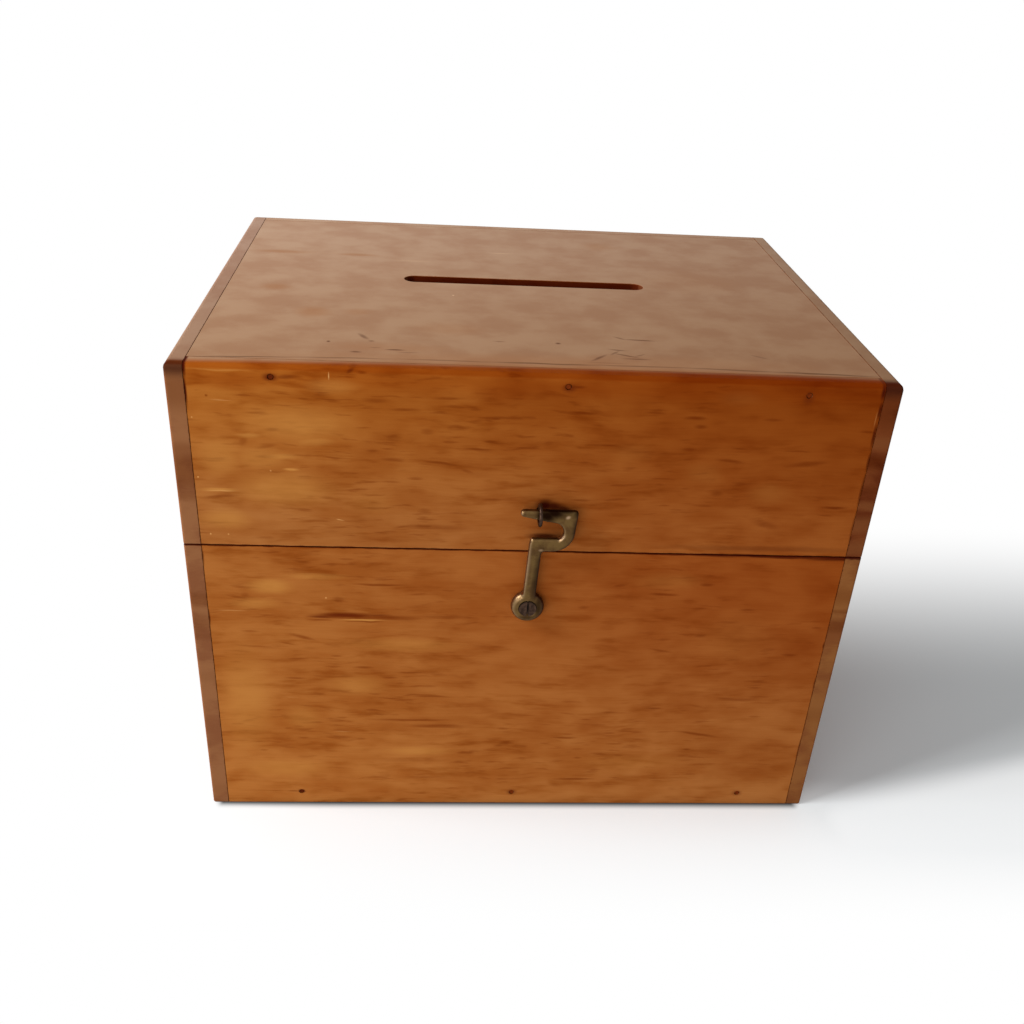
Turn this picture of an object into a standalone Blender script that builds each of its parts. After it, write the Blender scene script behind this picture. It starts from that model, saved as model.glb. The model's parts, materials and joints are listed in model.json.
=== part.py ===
"""A wooden ballot box: a deep base and a slotted lid, hinged at the back and held shut by a brass hook."""

import math

import bmesh
import bpy
from mathutils import Matrix, Vector

# The wooden box, in metres. X runs along its width, Y from front to back, and Z up from its underside
BOX_WIDTH = 0.320
BOX_DEPTH = 0.248
BASE_HEIGHT = 0.160
LID_HEIGHT = 0.088
SIDE_BOARD = 0.008
FRONT_BOARD = 0.008
TOP_BOARD = 0.008
BOTTOM_BOARD = 0.012
JOINT_GAP = 0.0003
SEAM_GAP = 0.0003
TOP_ROUND = 0.0025
CORNER_ROUND = 0.0012
SEAM_ROUND = 0.0005

# The ballot slot in the lid's top
SLOT_LENGTH = 0.127
SLOT_WIDTH = 0.011
SLOT_BEHIND_MIDDLE = 0.0072
SLOT_EASE = 0.0004

# The nails. Places along the width are in shares of it, heights in shares of the half or of the panel
NAIL_LENGTH = 0.018
NAIL_RADIUS = 0.0008
NAIL_HEAD_RADIUS = 0.0012
NAIL_HEAD_HEIGHT = 0.0010
NAIL_POINT = 0.0020
NAIL_SET = 0.0003
LID_FRONT_NAIL_SHARES = (-0.361, 0.036, 0.369)
LID_FRONT_NAIL_HEIGHTS = (0.38, 0.33, 0.25)
BASE_FRONT_NAIL_SHARES = (-0.353, -0.003, 0.385)
BASE_FRONT_NAIL_HEIGHTS = (0.7, 0.7, 0.7)
BACK_NAIL_SHARES = (-0.36, 0.0, 0.36)
BACK_NAIL_HEIGHTS = (0.5, 0.5, 0.5)
LID_SIDE_NAIL_SHARES = (0.27, 0.72)
BASE_SIDE_NAIL_SHARES = (0.2, 0.5, 0.8)

# The cast hook. Its pivot is on the base, and heights and reaches are from the pivot
PIVOT_RIGHT = 0.0002
PIVOT_BELOW_SEAM = 0.0289
BOSS_RADIUS = 0.0081
BOSS_FOOT_RADIUS = 0.0070
BOSS_RIM_RADIUS = 0.0055
BOSS_HEIGHT = 0.0054
BOSS_BELLY_HEIGHT = 0.0026
STEM_WIDTH = 0.0062
STEM_LEAN = math.radians(2.5)
STEM_STAND_OFF = 0.0015
STEM_LEAN_OUT = 0.0020
BAR_WIDTH = 0.0054
BAR_DEPTH = 0.0036
BAR_BEVEL = 0.0011
JOG_HEIGHT = 0.0353
BEND_RIGHT = 0.0090
MOUTH_RADIUS = 0.0050
FINGER_ROOT_WIDTH = 0.0061
FINGER_TIP_WIDTH = 0.0034
TIP_LEFT = 0.0064
HEEL_OUT = 0.0010

# The screw that the hook turns on
PIVOT_SCREW_RADIUS = 0.0016
PIVOT_HEAD_RADIUS = 0.0042
PIVOT_HEAD_HEIGHT = 0.0026
PIVOT_HEAD_PROUD = 0.0002
PIVOT_SCREW_IN_WOOD = 0.0065
SCREW_POINT = 0.0020
DRIVER_SLOT_WIDTH = 0.0009
DRIVER_SLOT_DEPTH = 0.0009

# The screw eye on the lid that the hook's finger goes through
EYE_RADIUS = 0.0055
EYE_WIRE = 0.0018
EYE_SHANK_IN_WOOD = 0.0065
EYE_RIGHT_OF_PIVOT = 0.0026
EYE_BELOW_FINGER_TOP = 0.0025

# The two hinges on the back
HINGE_FROM_MIDDLE = 0.085
HINGE_LENGTH = 0.038
LEAF_WIDTH = 0.0140
LEAF_THICKNESS = 0.0012
LEAF_CORNER = 0.0010
TAB_SHOULDER = 0.00015
KNUCKLE_RADIUS = 0.0026
PIN_RADIUS = 0.0011
PIN_HEAD_RADIUS = 0.0017
PIN_HEAD_HEIGHT = 0.0008
HINGE_SCREW_FROM_MIDDLE = 0.0120
HINGE_SCREW_RADIUS = 0.0011
HINGE_SCREW_HEAD_RADIUS = 0.0021
HINGE_SCREW_HEAD_HEIGHT = 0.0010
HINGE_SCREW_IN_WOOD = 0.0062
HINGE_SLOT_WIDTH = 0.0005
HINGE_SLOT_DEPTH = 0.0004

# Fits and finish of the mesh
CLEARANCE = 0.0003
OVERRUN = 0.002
WELD = 0.0000005
ARC_STEPS = 12
ROUND_STEPS = 4
NAIL_SIDES = 8
SCREW_SIDES = 16
BOSS_SIDES = 36
KNUCKLE_SIDES = 20
EYE_STEPS = 32
WIRE_SIDES = 10
SMOOTH_ANGLE = math.radians(35)

# Finishes: colour, roughness, metallic
PINE_FACE = ((0.49, 0.19, 0.045), 0.38, 0.0)
PINE_TOP = ((0.50, 0.23, 0.085), 0.42, 0.0)
PINE_SIDE = ((0.40, 0.15, 0.040), 0.42, 0.0)
PINE_BOTTOM = ((0.45, 0.22, 0.080), 0.60, 0.0)
NAIL_STEEL = ((0.05, 0.035, 0.025), 0.65, 0.8)
AGED_BRASS = ((0.24, 0.18, 0.060), 0.42, 1.0)
SCREW_STEEL = ((0.11, 0.085, 0.070), 0.50, 1.0)
HINGE_BRASS = ((0.42, 0.30, 0.100), 0.38, 1.0)

# Places that follow from the sizes above
LID_BOTTOM = BASE_HEIGHT + SEAM_GAP
LID_TOP = LID_BOTTOM + LID_HEIGHT
HALF_WIDTH = BOX_WIDTH / 2
HALF_DEPTH = BOX_DEPTH / 2
SEAM = BASE_HEIGHT + SEAM_GAP / 2
INNER_HALF_WIDTH = HALF_WIDTH - SIDE_BOARD - JOINT_GAP
INNER_HALF_DEPTH = HALF_DEPTH - FRONT_BOARD - JOINT_GAP
HINGE_AXIS_Y = HALF_DEPTH + CLEARANCE + KNUCKLE_RADIUS
PIVOT_HEIGHT = BASE_HEIGHT - PIVOT_BELOW_SEAM
BEND_HEIGHT = JOG_HEIGHT + BAR_WIDTH / 2 + MOUTH_RADIUS
FINGER_TOP = BEND_HEIGHT + MOUTH_RADIUS + FINGER_ROOT_WIDTH

# Ways that a fastener can point out of the wood
FRONT = Vector((0, -1, 0))
BACK = Vector((0, 1, 0))
LEFT = Vector((-1, 0, 0))
RIGHT = Vector((1, 0, 0))


def clear_scene():
    """Empties the scene, so that the part stands alone."""
    for old in list(bpy.data.objects):
        bpy.data.objects.remove(old)


def paint(obj, finish):
    """Gives an object its own material."""
    colour, roughness, metallic = finish
    material = bpy.data.materials.new(obj.name + "_finish")
    material.use_nodes = True
    shader = material.node_tree.nodes["Principled BSDF"]
    shader.inputs["Base Color"].default_value = (*colour, 1)
    shader.inputs["Roughness"].default_value = roughness
    shader.inputs["Metallic"].default_value = metallic
    obj.data.materials.append(material)
    obj.data.shade_smooth()
    obj.data.set_sharp_from_angle(angle=SMOOTH_ANGLE)


def add_object(name, bm, finish=None, place=None, parent=None):
    """Makes an object of a mesh, at a place given as a matrix in the box's frame."""
    mesh = bpy.data.meshes.new(name)
    bm.to_mesh(mesh)
    bm.free()
    obj = bpy.data.objects.new(name, mesh)
    bpy.context.scene.collection.objects.link(obj)
    if parent:
        obj.parent = parent
        obj.matrix_parent_inverse = Matrix.Translation(-parent.location)
    obj.matrix_basis = place or Matrix()
    if finish:
        paint(obj, finish)
    return obj


def add_cutter(name, bm, place=None):
    """A shape that is only taken away from, or kept of, another."""
    cutter = add_object(name, bm, place=place)
    cutter.hide_render = True
    cutter.display_type = "WIRE"
    return cutter


def combine(obj, other, operation):
    """Joins, cuts or trims an object by another."""
    boolean = obj.modifiers.new(other.name, "BOOLEAN")
    boolean.operation = operation
    boolean.object = other
    boolean.solver = "EXACT"


def add_axis(name, place):
    """An empty on a joint's axis that carries what turns about it."""
    axis = bpy.data.objects.new(name, None)
    axis.location = place
    bpy.context.scene.collection.objects.link(axis)
    return axis


def pointing(place, outward):
    """Where a turned piece goes: its own +Z points outward and its origin is at the place."""
    return Matrix.Translation(place) @ outward.to_track_quat("Z", "Y").to_matrix().to_4x4()


def block(low, high):
    """A box between two corners, about its own middle, and the place of that middle."""
    low, high = Vector(low), Vector(high)
    bm = bmesh.new()
    bmesh.ops.create_cube(bm, size=1, matrix=Matrix.Diagonal((*(high - low), 1)))
    return bm, Matrix.Translation((low + high) / 2)


def close_spin(bm, geometry, steps):
    """Turns a profile once round Z and welds its seam."""
    bmesh.ops.spin(bm, geom=geometry, cent=(0, 0, 0), axis=(0, 0, 1), angle=math.tau, steps=steps)
    bmesh.ops.remove_doubles(bm, verts=bm.verts, dist=WELD)
    bmesh.ops.recalc_face_normals(bm, faces=bm.faces)


def turned(profile, sides):
    """A round solid about Z from a list of radius and height, which starts and ends on the axis."""
    bm = bmesh.new()
    points = [bm.verts.new((radius, 0, height)) for radius, height in profile]
    edges = [bm.edges.new(pair) for pair in zip(points, points[1:])]
    close_spin(bm, points + edges, sides)
    return bm


def prism(outline, start, end):
    """A closed outline in X and Y, drawn out along Z."""
    bm = bmesh.new()
    lower = bm.faces.new([bm.verts.new((x, y, start)) for x, y in outline])
    upper = bmesh.ops.extrude_face_region(bm, geom=[lower])
    raised = [v for v in upper["geom"] if isinstance(v, bmesh.types.BMVert)]
    bmesh.ops.translate(bm, verts=raised, vec=(0, 0, end - start))
    bmesh.ops.recalc_face_normals(bm, faces=bm.faces)
    return bm


def arc(centre, radius, start, end, steps=ARC_STEPS):
    """Points on an arc, with angles in degrees from +X."""
    angles = [math.radians(start + (end - start) * i / steps) for i in range(steps + 1)]
    return [(centre[0] + radius * math.cos(a), centre[1] + radius * math.sin(a)) for a in angles]


def loop_edges(bm, ring):
    """The edges of a closed ring of points, made where they are missing."""
    return [bm.edges.get(pair) or bm.edges.new(pair) for pair in zip(ring, ring[1:] + ring[:1])]


def merge_into(bm, other, place):
    """Adds a second mesh, moved to its place, to a first."""
    bmesh.ops.transform(other, matrix=place, verts=other.verts)
    mesh = bpy.data.meshes.new("merged")
    other.to_mesh(mesh)
    other.free()
    bm.from_mesh(mesh)
    bpy.data.meshes.remove(mesh)


def planed_shape(name, bottom, top, lower_round, upper_round):
    """The outside of one half of the box, with its corners, lower rim and upper rim rounded by the plane."""
    bm, place = block((-HALF_WIDTH, -HALF_DEPTH, bottom), (HALF_WIDTH, HALF_DEPTH, top))
    half = (top - bottom) / 2
    bevel = bm.edges.layers.float.new("bevel_weight_edge")
    widest = max(lower_round, upper_round, CORNER_ROUND)
    for edge in bm.edges:
        height = (edge.verts[0].co.z + edge.verts[1].co.z) / 2
        width = CORNER_ROUND
        if height > half / 2:
            width = upper_round
        if height < -half / 2:
            width = lower_round
        edge[bevel] = width / widest
    shape = add_cutter(name, bm, place)
    rounding = shape.modifiers.new("planed_edges", "BEVEL")
    rounding.width = widest
    rounding.segments = ROUND_STEPS
    rounding.limit_method = "WEIGHT"
    return shape


def drill(board, holes):
    """Bores a board for what is driven into it. A hole is a turned profile, its sides and its place."""
    bm = bmesh.new()
    for profile, sides, place in holes:
        merge_into(bm, turned(profile, sides), place)
    combine(board, add_cutter(board.name + "_holes", bm), "DIFFERENCE")


def add_board(name, low, high, shape, finish, parent=None):
    """A board of the box: a block trimmed to the planed outside."""
    bm, place = block(low, high)
    board = add_object(name, bm, finish, place, parent)
    combine(board, shape, "INTERSECT")
    return board


def add_walls(half, bottom, top, shape, parent):
    """The four walls of one half. The side boards run the full depth, and cover the ends of the others."""
    low, high = bottom - OVERRUN, top + OVERRUN
    outer_x, outer_y = HALF_WIDTH + OVERRUN, HALF_DEPTH + OVERRUN
    inside_y = HALF_DEPTH - FRONT_BOARD
    inside_x = HALF_WIDTH - SIDE_BOARD
    spans = {
        "front": ((-INNER_HALF_WIDTH, -outer_y, low), (INNER_HALF_WIDTH, -inside_y, high)),
        "back": ((-INNER_HALF_WIDTH, inside_y, low), (INNER_HALF_WIDTH, outer_y, high)),
        "left_side": ((-outer_x, -outer_y, low), (-inside_x, outer_y, high)),
        "right_side": ((inside_x, -outer_y, low), (outer_x, outer_y, high)),
    }
    walls = {}
    for place, (corner, opposite) in spans.items():
        finish = PINE_SIDE if "side" in place else PINE_FACE
        name = half + "_" + place
        walls[name] = add_board(name, corner, opposite, shape, finish, parent)
    return walls


def nail_profile(spare, outer):
    """A lost-head nail, its head's top at height 0. With spare it is the hole that the nail lies in."""
    tip = -NAIL_LENGTH - spare
    neck = -NAIL_HEAD_HEIGHT - spare
    return [
        (0, tip),
        ((NAIL_RADIUS + spare) / 2, tip),
        (NAIL_RADIUS + spare, tip + NAIL_POINT),
        (NAIL_RADIUS + spare, neck),
        (NAIL_HEAD_RADIUS + spare, neck),
        (NAIL_HEAD_RADIUS + spare, outer),
        (0, outer),
    ]


def add_nail(name, place, outward, parent, holes, boards):
    """A nail through one board into another, and its hole in both."""
    seat = pointing(place - outward * NAIL_SET, outward)
    add_object(name, turned(nail_profile(0, 0), NAIL_SIDES), NAIL_STEEL, seat, parent)
    for board in boards:
        holes.setdefault(board, []).append((nail_profile(CLEARANCE, OVERRUN), NAIL_SIDES, seat))


def add_panel_nails(half, panel, bottom, thickness, front_row, parent, holes):
    """The nails through one half's front and back into the edges of the panel between them."""
    back_row = (BACK_NAIL_SHARES, BACK_NAIL_HEIGHTS)
    for face, outward, (shares, heights) in (("front", FRONT, front_row), ("back", BACK, back_row)):
        for number, (share, up) in enumerate(zip(shares, heights), 1):
            place = Vector((share * BOX_WIDTH, outward.y * HALF_DEPTH, bottom + up * thickness))
            boards = (half + "_" + face, half + "_" + panel)
            add_nail(f"nail_{half}_{face}_{number}", place, outward, parent, holes, boards)


def add_corner_nails(half, bottom, height, shares, parent, holes):
    """The nails through one half's sides into the ends of its front and back."""
    for side, outward in (("left", LEFT), ("right", RIGHT)):
        for face, end in (("front", FRONT), ("back", BACK)):
            along = end.y * (HALF_DEPTH - FRONT_BOARD / 2)
            for number, share in enumerate(shares, 1):
                place = Vector((outward.x * HALF_WIDTH, along, bottom + share * height))
                boards = (half + "_" + side + "_side", half + "_" + face)
                add_nail(f"nail_{half}_{side}_{face}_{number}", place, outward, parent, holes, boards)


def screw_profile(radius, head_radius, head_height, length, spare, outer):
    """A countersunk screw, its head's flat top at height 0. With spare it is the hole it lies in."""
    tip = -head_height - length - spare
    return [
        (0, tip),
        ((radius + spare) / 2, tip),
        (radius + spare, tip + SCREW_POINT),
        (radius + spare, -head_height),
        (head_radius + spare, -spare / 2),
        (head_radius + spare, outer),
        (0, outer),
    ]


def add_screw(name, sizes, slot, place, finish, parent):
    """A screw with an upright driver slot, given as its width and depth, across its head."""
    screw = add_object(name, turned(screw_profile(*sizes, 0, 0), SCREW_SIDES), finish, place, parent)
    width, depth = slot
    reach = sizes[1] + OVERRUN
    bm, _ = block((-width / 2, -reach, -depth), (width / 2, reach, depth))
    combine(screw, add_cutter(name + "_slot", bm, place), "DIFFERENCE")


def hook_outline():
    """The hook's stem, jog, bend and finger from the front, with its pivot at the origin."""
    lean = math.tan(STEM_LEAN)
    half_stem = STEM_WIDTH / 2
    jog_low, jog_high = JOG_HEIGHT - BAR_WIDTH / 2, JOG_HEIGHT + BAR_WIDTH / 2
    bend = (BEND_RIGHT, BEND_HEIGHT)
    outer_radius = MOUTH_RADIUS + BAR_WIDTH
    finger_low = BEND_HEIGHT + MOUTH_RADIUS
    tip_radius = FINGER_TIP_WIDTH / 2
    tip = (-TIP_LEFT + tip_radius, FINGER_TOP - tip_radius)
    knee = (EYE_RIGHT_OF_PIVOT + STEM_WIDTH / 2, finger_low + HEEL_OUT / 2)
    return [
        (-half_stem, 0),
        (half_stem, 0),
        (half_stem + lean * jog_low, jog_low),
        *arc(bend, outer_radius, -90, 0),
        (BEND_RIGHT + outer_radius + HEEL_OUT, FINGER_TOP),
        *arc(tip, tip_radius, 90, 270, ARC_STEPS // 2),
        knee,
        *arc(bend, MOUTH_RADIUS, 90, -90),
        (-half_stem + lean * jog_high, jog_high),
    ]


def boss_profile():
    """The round boss from its foot out to its belly, then in over its shoulder to the rim."""
    foot_in = BOSS_RADIUS - BOSS_FOOT_RADIUS
    rim_in = BOSS_RADIUS - BOSS_RIM_RADIUS
    turns = [math.radians(90) * step / ROUND_STEPS for step in range(ROUND_STEPS + 1)]
    foot = [
        (
            BOSS_FOOT_RADIUS + foot_in * math.sin(turn),
            BOSS_BELLY_HEIGHT - (BOSS_BELLY_HEIGHT - CLEARANCE) * math.cos(turn),
        )
        for turn in turns
    ]
    shoulder = [
        (
            BOSS_RIM_RADIUS + rim_in * math.cos(turn),
            BOSS_BELLY_HEIGHT + (BOSS_HEIGHT - BOSS_BELLY_HEIGHT) * math.sin(turn),
        )
        for turn in turns[1:]
    ]
    return [(0, CLEARANCE), *foot, *shoulder, (0, BOSS_HEIGHT)]


def add_hook(axis):
    """The cast brass hook: a bar that leans out from the wood, on a turned boss that a screw holds."""
    upright = Matrix.Rotation(math.radians(90), 4, "X")
    bm = prism(hook_outline(), STEM_STAND_OFF, STEM_STAND_OFF + BAR_DEPTH)
    rims = [e for e in bm.edges if abs(e.verts[0].co.z - e.verts[1].co.z) < WELD]
    bmesh.ops.bevel(bm, geom=rims, offset=BAR_BEVEL, segments=2, profile=0.5, affect="EDGES")
    for vert in bm.verts:
        vert.co.z += STEM_LEAN_OUT * min(max(vert.co.y / JOG_HEIGHT, 0), 1)
    bmesh.ops.transform(bm, matrix=upright, verts=bm.verts)
    place = Matrix.Translation(axis.location)
    hook = add_object("hook", bm, AGED_BRASS, place, axis)

    boss_place = pointing(axis.location, FRONT)
    combine(hook, add_cutter("hook_boss", turned(boss_profile(), BOSS_SIDES), boss_place), "UNION")

    head_top = BOSS_HEIGHT + PIVOT_HEAD_PROUD
    seat = pointing(axis.location + FRONT * head_top, FRONT)
    length = head_top - PIVOT_HEAD_HEIGHT + PIVOT_SCREW_IN_WOOD
    sizes = (PIVOT_SCREW_RADIUS, PIVOT_HEAD_RADIUS, PIVOT_HEAD_HEIGHT, length)
    bore = turned(screw_profile(*sizes, CLEARANCE, OVERRUN), BOSS_SIDES)
    combine(hook, add_cutter("hook_bore", bore, seat), "DIFFERENCE")
    return sizes, seat


def add_pivot_screw(sizes, seat, holes):
    """The slotted screw that the hook turns on, driven into the base's front board."""
    add_screw("hook_screw", sizes, (DRIVER_SLOT_WIDTH, DRIVER_SLOT_DEPTH), seat, SCREW_STEEL, None)
    holes["base_front"].append((screw_profile(*sizes, CLEARANCE, 0), SCREW_SIDES, seat))


def spike_profile(radius, length):
    """A pointed shank from height 0 down."""
    return [(0, -length), (radius / 2, -length), (radius, -length + SCREW_POINT), (radius, 0), (0, 0)]


def add_screw_eye(parent, holes):
    """The bent-wire eye on the lid. Its ring stands edge on to the front, and its shank is in the wood."""
    ring_radius = EYE_RADIUS - EYE_WIRE / 2
    stand_off = EYE_RADIUS + CLEARANCE
    across = PIVOT_RIGHT + EYE_RIGHT_OF_PIVOT
    height = PIVOT_HEIGHT + FINGER_TOP - EYE_BELOW_FINGER_TOP
    centre = Vector((across, -HALF_DEPTH - stand_off, height))
    section = Matrix.Translation((ring_radius, 0, 0)) @ Matrix.Rotation(math.radians(90), 4, "X")
    bm = bmesh.new()
    bmesh.ops.create_circle(bm, segments=WIRE_SIDES, radius=EYE_WIRE / 2, matrix=section)
    close_spin(bm, bm.verts[:] + bm.edges[:], EYE_STEPS)
    sideways = Matrix.Translation(centre) @ Matrix.Rotation(math.radians(90), 4, "Y")
    eye = add_object("screw_eye", bm, SCREW_STEEL, sideways, parent)
    length = stand_off - ring_radius + EYE_SHANK_IN_WOOD
    seat = pointing(centre - FRONT * ring_radius, FRONT)
    radius = EYE_WIRE / 2
    shank = turned(spike_profile(radius, length), WIRE_SIDES)
    combine(eye, add_cutter("eye_shank", shank, seat), "UNION")
    hole = spike_profile(radius + CLEARANCE, length + CLEARANCE)
    holes["lid_front"].append((hole, SCREW_SIDES, seat))


def leaf_outline(own):
    """One leaf from behind: a round-cornered plate, with a tab up to the pin for each knuckle."""
    half = HINGE_LENGTH / 2
    foot = KNUCKLE_RADIUS + CLEARANCE
    corner_x, corner_z = half - LEAF_CORNER, LEAF_WIDTH - LEAF_CORNER
    points = arc((corner_x, corner_z), LEAF_CORNER, 0, 90, ROUND_STEPS)
    points += arc((-corner_x, corner_z), LEAF_CORNER, 90, 180, ROUND_STEPS)
    points.append((-half, foot))
    for low, high in own:
        left, right = low + TAB_SHOULDER, high - TAB_SHOULDER
        points += [(left, foot), (left, 0), (right, 0), (right, foot)]
    points.append((half, foot))
    return points


def knuckles():
    """The stretches along the pin of the base leaf's two knuckles and of the lid leaf's one."""
    half = HINGE_LENGTH / 2
    third = HINGE_LENGTH / 6
    spare = CLEARANCE / 2
    ends = [(-half, -third - spare), (third + spare, half)]
    return ends, [(-third + spare, third - spare)]


def add_leaf(name, middle, up, own, parent):
    """A hinge leaf: its plate and tabs, then the knuckles round the pin. Up is 1 for the lid's leaf."""
    outline = [(x, z * up) for x, z in leaf_outline(own)]
    upright = Matrix.Rotation(math.radians(90), 4, "X")
    bm = prism(outline, -CLEARANCE - LEAF_THICKNESS, -CLEARANCE)
    bmesh.ops.transform(bm, matrix=upright, verts=bm.verts)
    place = Matrix.Translation((middle, HALF_DEPTH, SEAM))
    leaf = add_object(name, bm, HINGE_BRASS, place, parent)
    rolled = bmesh.new()
    for low, high in own:
        profile = [(0, low), (KNUCKLE_RADIUS, low), (KNUCKLE_RADIUS, high), (0, high)]
        merge_into(rolled, turned(profile, KNUCKLE_SIDES), Matrix())
    facet = Matrix.Rotation(math.pi / KNUCKLE_SIDES, 4, "Z")
    along = pointing(Vector((middle, HINGE_AXIS_Y, SEAM)), RIGHT)
    combine(leaf, add_cutter(name + "_knuckles", rolled, along @ facet), "UNION")
    reach = HINGE_LENGTH / 2 + OVERRUN
    bored = PIN_RADIUS + CLEARANCE
    bore = turned([(0, -reach), (bored, -reach), (bored, reach), (0, reach)], KNUCKLE_SIDES)
    combine(leaf, add_cutter(name + "_bore", bore, along), "DIFFERENCE")
    return leaf


def add_hinge(side, middle, lid_axis, holes):
    """A brass hinge: two leaves, the pin that joins them, and two screws in each leaf."""
    base_knuckles, lid_knuckles = knuckles()
    leaves = (
        ("base", -1, base_knuckles, None),
        ("lid", 1, lid_knuckles, lid_axis),
    )
    head_top = CLEARANCE + LEAF_THICKNESS
    heads = (HINGE_SCREW_HEAD_RADIUS, HINGE_SCREW_HEAD_HEIGHT)
    sizes = (HINGE_SCREW_RADIUS, *heads, HINGE_SCREW_IN_WOOD)
    row = (LEAF_WIDTH + KNUCKLE_RADIUS) / 2
    for half, up, own, parent in leaves:
        leaf = add_leaf(f"hinge_{side}_{half}_leaf", middle, up, own, parent)
        leaf_holes = []
        for number, way in enumerate((-1, 1), 1):
            across = middle + way * HINGE_SCREW_FROM_MIDDLE
            seat = pointing(Vector((across, HALF_DEPTH + head_top, SEAM + up * row)), BACK)
            name = f"hinge_{side}_{half}_screw_{number}"
            add_screw(name, sizes, (HINGE_SLOT_WIDTH, HINGE_SLOT_DEPTH), seat, HINGE_BRASS, parent)
            leaf_holes.append((screw_profile(*sizes, CLEARANCE, OVERRUN), SCREW_SIDES, seat))
        drill(leaf, leaf_holes)
        holes[half + "_back"] += leaf_holes
    half_pin = HINGE_LENGTH / 2 + CLEARANCE
    ends = half_pin + PIN_HEAD_HEIGHT
    pin = [
        (0, -ends),
        (PIN_HEAD_RADIUS, -ends),
        (PIN_HEAD_RADIUS, -half_pin),
        (PIN_RADIUS, -half_pin),
        (PIN_RADIUS, half_pin),
        (PIN_HEAD_RADIUS, half_pin),
        (PIN_HEAD_RADIUS, ends),
        (0, ends),
    ]
    along = pointing(Vector((middle, HINGE_AXIS_Y, SEAM)), RIGHT)
    add_object(f"hinge_{side}_pin", turned(pin, SCREW_SIDES), HINGE_BRASS, along)


def cut_slot(lid_top):
    """The ballot slot through the lid's top, with round ends and an eased edge."""
    radius = SLOT_WIDTH / 2
    reach = SLOT_LENGTH / 2 - radius
    bottom, top = LID_TOP - TOP_BOARD, LID_TOP
    levels = (
        (bottom - OVERRUN, radius),
        (top - SLOT_EASE, radius),
        (top + OVERRUN, radius + SLOT_EASE + OVERRUN),
    )
    bm = bmesh.new()
    rings = []
    for height, size in levels:
        outline = arc((reach, 0), size, -90, 90) + arc((-reach, 0), size, 90, 270)
        rings.append([bm.verts.new((x, y + SLOT_BEHIND_MIDDLE, height)) for x, y in outline])
    bm.faces.new(rings[0])
    bm.faces.new(rings[-1])
    for lower, upper in zip(rings, rings[1:]):
        bmesh.ops.bridge_loops(bm, edges=loop_edges(bm, lower) + loop_edges(bm, upper))
    bmesh.ops.recalc_face_normals(bm, faces=bm.faces)
    combine(lid_top, add_cutter("ballot_slot", bm), "DIFFERENCE")


def main():
    clear_scene()
    lid_axis = add_axis("lid_axis", Vector((0, HINGE_AXIS_Y, SEAM)))
    hook_axis = add_axis("hook_axis", Vector((PIVOT_RIGHT, -HALF_DEPTH, PIVOT_HEIGHT)))
    base_shape = planed_shape("base_outside", 0, BASE_HEIGHT, CORNER_ROUND, SEAM_ROUND)
    lid_shape = planed_shape("lid_outside", LID_BOTTOM, LID_TOP, SEAM_ROUND, TOP_ROUND)
    boards = add_walls("base", 0, BASE_HEIGHT, base_shape, None)
    boards.update(add_walls("lid", LID_BOTTOM, LID_TOP, lid_shape, lid_axis))
    inner = Vector((INNER_HALF_WIDTH, INNER_HALF_DEPTH, 0))
    boards["base_bottom"] = add_board(
        "base_bottom",
        -inner - Vector((0, 0, OVERRUN)),
        inner + Vector((0, 0, BOTTOM_BOARD)),
        base_shape,
        PINE_BOTTOM,
    )
    boards["lid_top"] = add_board(
        "lid_top",
        -inner + Vector((0, 0, LID_TOP - TOP_BOARD)),
        inner + Vector((0, 0, LID_TOP + OVERRUN)),
        lid_shape,
        PINE_TOP,
        lid_axis,
    )
    cut_slot(boards["lid_top"])

    holes = {}
    base_row = (BASE_FRONT_NAIL_SHARES, BASE_FRONT_NAIL_HEIGHTS)
    lid_row = (LID_FRONT_NAIL_SHARES, LID_FRONT_NAIL_HEIGHTS)
    add_panel_nails("base", "bottom", 0, BOTTOM_BOARD, base_row, None, holes)
    add_panel_nails("lid", "top", LID_TOP - TOP_BOARD, TOP_BOARD, lid_row, lid_axis, holes)
    add_corner_nails("base", 0, BASE_HEIGHT, BASE_SIDE_NAIL_SHARES, None, holes)
    add_corner_nails("lid", LID_BOTTOM, LID_HEIGHT, LID_SIDE_NAIL_SHARES, lid_axis, holes)
    sizes, seat = add_hook(hook_axis)
    add_pivot_screw(sizes, seat, holes)
    add_screw_eye(lid_axis, holes)
    for side, way in (("left", -1), ("right", 1)):
        add_hinge(side, way * HINGE_FROM_MIDDLE, lid_axis, holes)
    for name, bored in holes.items():
        drill(boards[name], bored)


main()
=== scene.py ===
"""The look of a stained wooden ballot box with a slotted lid, a brass swing hook and a steel screw eye."""

import json
import math

import bpy
from mathutils import Matrix, Vector

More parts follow.
